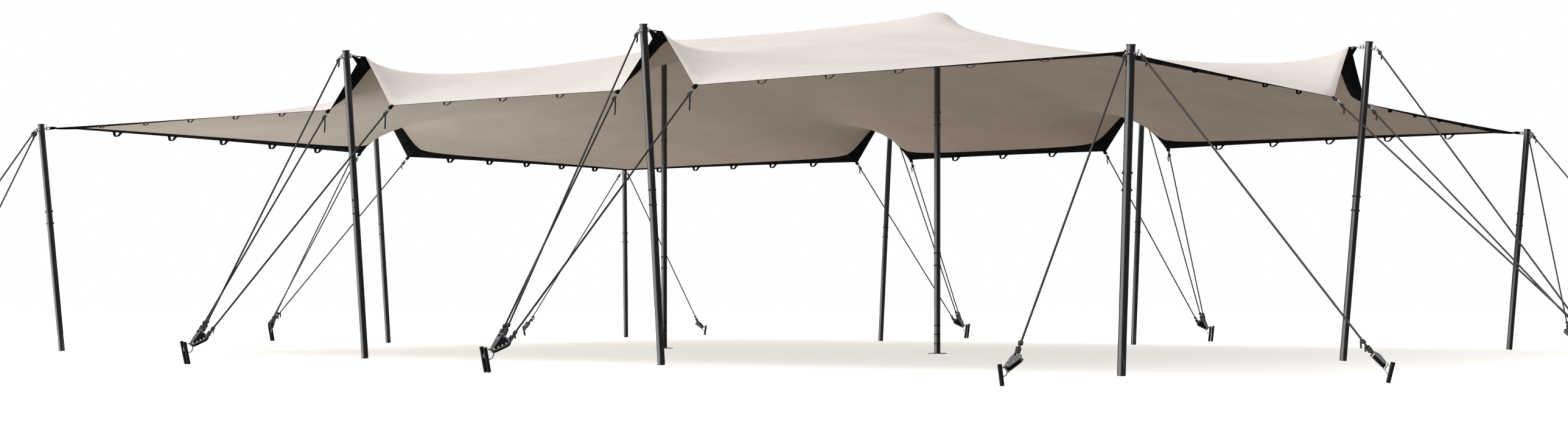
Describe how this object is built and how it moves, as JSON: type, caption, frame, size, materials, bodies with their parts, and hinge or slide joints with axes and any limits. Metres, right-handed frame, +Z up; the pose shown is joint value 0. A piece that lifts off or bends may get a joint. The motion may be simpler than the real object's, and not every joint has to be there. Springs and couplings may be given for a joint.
{
  "type": "stretch tent",
  "caption": "Rectangular stretch tent: a cream membrane with a black hem, raised on upright inner poles, pulled out by leaning edge poles and held by guy ropes to ground stakes.",
  "frame": {"origin": "on the ground, at the middle of the rectangle that the ground stakes mark out", "axes": "+X along the tent's long side, +Y along its short side, +Z up; the front of the tent faces -Y"},
  "size_m": [20.111, 16.431, 4.136],
  "materials": {
    "membrane": "coated stretch fabric, matt cream above and taupe below",
    "webbing": "black woven webbing",
    "tube": "satin black powder coat",
    "base_plate": "worn grey paint",
    "guy_rope": "black and white flecked braid",
    "stake": "black painted steel bar",
    "galvanised": "hot-dip galvanised steel of the shackles, eye nuts and bolts"
  },
  "bodies": {
    "root": {"canopy": "membrane", "hem_band": "webbing", "corner_pole_front_left": "tube", "corner_pole_front_right": "tube", "corner_pole_back_left": "tube", "corner_pole_back_right": "tube", "side_pole_front_left": "tube", "side_pole_front_right": "tube", "side_pole_back_left": "tube", "side_pole_back_right": "tube", "side_pole_end_left": "tube", "side_pole_end_right": "tube", "king_pole_left": "tube", "king_pole_right": "tube", "king_base_plate_left": "base_plate", "king_base_plate_right": "base_plate", "side_guys_front_left": "guy_rope", "side_guys_front_right": "guy_rope", "side_guys_back_left": "guy_rope", "side_guys_back_right": "guy_rope", "side_guys_end_left": "guy_rope", "side_guys_end_right": "guy_rope", "corner_guy_front_left_along": "guy_rope", "corner_guy_front_left_across": "guy_rope", "corner_guy_front_right_along": "guy_rope", "corner_guy_front_right_across": "guy_rope", "corner_guy_back_left_along": "guy_rope", "corner_guy_back_left_across": "guy_rope", "corner_guy_back_right_along": "guy_rope", "corner_guy_back_right_across": "guy_rope", "stake_pair_front_left": "stake", "stake_pair_front_right": "stake", "stake_pair_back_left": "stake", "stake_pair_back_right": "stake", "stake_pair_end_left": "stake", "stake_pair_end_right": "stake", "corner_stake_front_left_along": "stake", "corner_stake_front_left_across": "stake", "corner_stake_front_right_along": "stake", "corner_stake_front_right_across": "stake", "corner_stake_back_left_along": "stake", "corner_stake_back_left_across": "stake", "corner_stake_back_right_along": "stake", "corner_stake_back_right_across": "stake"}
  },
  "joints": []
}
